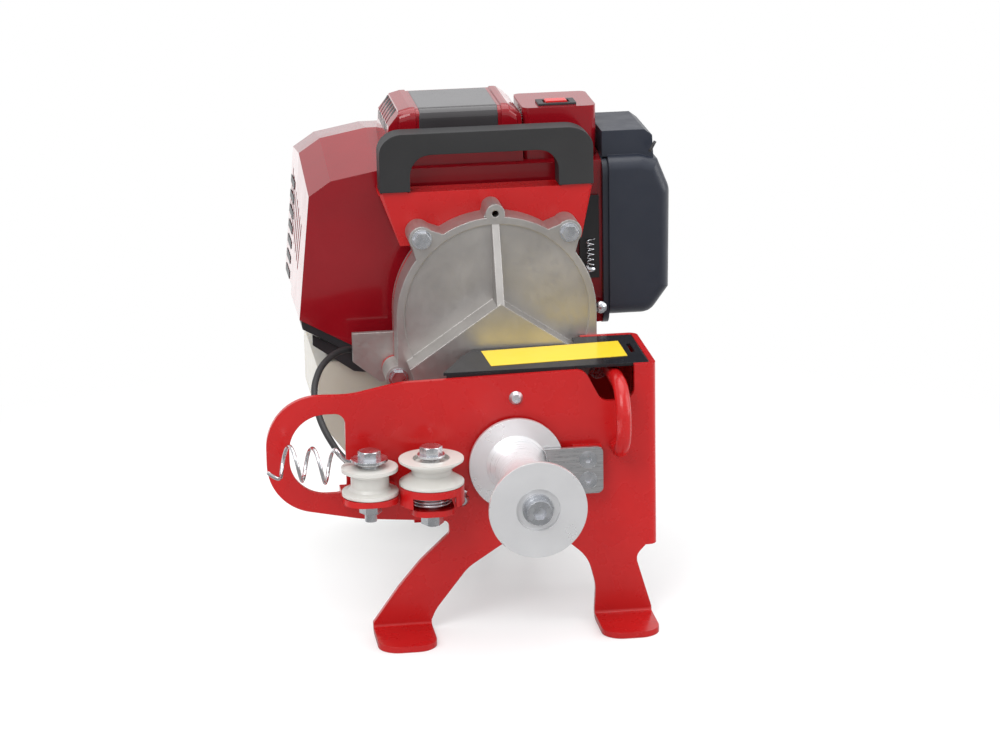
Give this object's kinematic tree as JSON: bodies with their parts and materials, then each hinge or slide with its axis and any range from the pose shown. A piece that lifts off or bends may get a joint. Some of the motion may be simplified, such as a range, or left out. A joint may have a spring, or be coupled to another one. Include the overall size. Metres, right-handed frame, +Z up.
{
  "type": "petrol capstan winch",
  "caption": "Portable petrol winch: small engine, reduction gearbox and capstan drum on a folded steel frame with rope rollers, coil rope guide and carrying handle.",
  "frame": {"origin": "centre of the footprint box, on the surface that the feet stand on", "axes": "+Z up, +Y from the drum to the engine, +X to the right seen from the drum's side"},
  "size_m": [0.2951, 0.3584, 0.332],
  "materials": {
    "red_paint": "glossy red powder coat",
    "black_paint": "satin black paint",
    "zinc": "zinc plated steel",
    "chrome": "bright chromed wire",
    "cast_aluminium": "shot blasted casting",
    "turned_aluminium": "turned",
    "steel": "machined steel",
    "white_nylon": "moulded natural nylon",
    "black_rubber": "soft black rubber",
    "black_plastic": "textured black moulding",
    "red_plastic": "glossy red moulding",
    "tank_plastic": "translucent cream moulding",
    "foam": "oiled foam"
  },
  "bodies": {
    "frame": {"air_cleaner_base": "black_plastic", "air_cleaner_cover": "black_plastic", "air_filter": "foam", "carburettor": "cast_aluminium", "engine_block": "cast_aluminium", "frame_plate": "red_paint", "frame_screws": "zinc", "fuel_tank": "tank_plastic", "gearbox_body": "cast_aluminium", "gearbox_cover": "cast_aluminium", "gearbox_screws": "zinc", "handle_bracket": "red_paint", "handle_grip": "black_rubber", "lock_nuts": "zinc", "muffler": "steel", "pigtail_guide": "chrome", "plate_screws": "zinc", "rear_stand": "black_paint", "recoil_housing": "black_plastic", "roller_bolts": "zinc", "roller_bushes": "steel", "roller_washers": "zinc", "rope_hook_bar": "red_paint", "shaft_bearings": "steel", "shaft_seal": "black_rubber", "shroud": "red_plastic", "shroud_trim": "black_plastic", "spark_plug": "steel", "stand_feet": "black_rubber", "stop_switch_base": "black_plastic", "stripper_plate": "zinc", "stripper_screws": "zinc", "switch_housing": "red_plastic", "tank_guard": "black_paint", "throttle_cable": "black_rubber", "top_cover": "red_plastic", "top_cover_plate": "black_paint"},
    "drum": {"capstan_drum": "turned_aluminium", "drum_bolt": "zinc", "output_shaft": "steel", "output_gear": "steel"},
    "intermediate": {"intermediate_shaft": "steel", "first_gear": "steel"},
    "input": {"input_shaft": "steel", "clutch_drum": "black_paint"},
    "crank": {"crankshaft": "steel", "clutch_shoes": "steel", "flywheel_fan": "cast_aluminium", "starter_cup": "steel"},
    "plain_roller": {"idler_roller": "white_nylon"},
    "vee_roller": {"tension_roller": "white_nylon"},
    "arm": {"tension_arm": "red_paint", "torsion_spring": "zinc"},
    "throttle": {"throttle_lever": "steel"},
    "choke": {"choke_lever": "black_plastic"},
    "primer": {"primer_bulb": "black_rubber"},
    "rocker": {"stop_switch_rocker": "red_plastic"},
    "starter_grip": {"recoil_handle": "black_plastic"},
    "starter_spool": {"recoil_spool": "white_nylon"},
    "tank_cap": {"fuel_cap": "black_plastic"}
  },
  "joints": [
    {"name": "drum_spin", "type": "hinge", "parent": "frame", "child": "drum", "pos_m": [0.01891, -0.07125, 0.1133], "axis": [0, 1, 0], "continuous": true},
    {"name": "intermediate_spin", "type": "hinge", "parent": "frame", "child": "intermediate", "pos_m": [0.03911, 0.00375, 0.14927], "axis": [0, 1, 0], "continuous": true},
    {"name": "input_spin", "type": "hinge", "parent": "frame", "child": "input", "pos_m": [0.01891, 0.01875, 0.193], "axis": [0, 1, 0], "continuous": true},
    {"name": "crank_spin", "type": "hinge", "parent": "frame", "child": "crank", "pos_m": [0.01891, 0.07875, 0.193], "axis": [0, 1, 0], "continuous": true},
    {"name": "plain_roller_spin", "type": "hinge", "parent": "frame", "child": "plain_roller", "pos_m": [-0.08009, -0.09525, 0.115], "axis": [0, 0, 1], "continuous": true},
    {"name": "vee_roller_spin", "type": "hinge", "parent": "frame", "child": "vee_roller", "pos_m": [-0.04009, -0.09825, 0.12], "axis": [0, 0, 1], "continuous": true},
    {"name": "arm_swing", "type": "hinge", "parent": "frame", "child": "arm", "pos_m": [-0.04009, -0.09825, 0.105], "axis": [0, 0, 1], "range_deg": [-18, 0], "stiffness_Nm_per_rad": 0.05, "springref_deg": 5.73, "deforming": ["torsion_spring"]},
    {"name": "throttle_turn", "type": "hinge", "parent": "frame", "child": "throttle", "pos_m": [0.08291, 0.07875, 0.255], "axis": [0, 1, 0], "range_deg": [-36, 0]},
    {"name": "choke_turn", "type": "hinge", "parent": "frame", "child": "choke", "pos_m": [0.08491, 0.11075, 0.259], "axis": [0, -1, 0], "range_deg": [0, 60]},
    {"name": "primer_press", "type": "slide", "parent": "frame", "child": "primer", "axis": [0, 0, 1], "range_m": [0, 0.002], "stiffness_N_per_m": 400, "springref_m": -0.0005},
    {"name": "stop_switch_rock", "type": "hinge", "parent": "frame", "child": "rocker", "pos_m": [0.07091, 0.07375, 0.321], "axis": [0, 1, 0], "range_deg": [-6, 6]},
    {"name": "starter_pull", "type": "slide", "parent": "frame", "child": "starter_grip", "axis": [0, 0, 1], "range_m": [0, 0.6], "stiffness_N_per_m": 8, "springref_m": -0.05},
    {"name": "spool_turn", "type": "hinge", "parent": "frame", "child": "starter_spool", "pos_m": [0.01891, 0.14775, 0.193], "axis": [0, 1, 0], "range_deg": [-1600, 0]},
    {"name": "tank_cap_turn", "type": "hinge", "parent": "frame", "child": "tank_cap", "pos_m": [-0.07309, 0.14875, 0.155], "axis": [0, 0, 1], "range_deg": [0, 180]}
  ],
  "couplings": [
    {"joint": "intermediate_spin", "follows": "drum_spin", "ratio": -4},
    {"joint": "input_spin", "follows": "drum_spin", "ratio": 24},
    {"joint": "throttle_turn", "follows": "arm_swing", "ratio": 2},
    {"joint": "spool_turn", "follows": "starter_pull", "rad_per_m": -40}
  ]
}
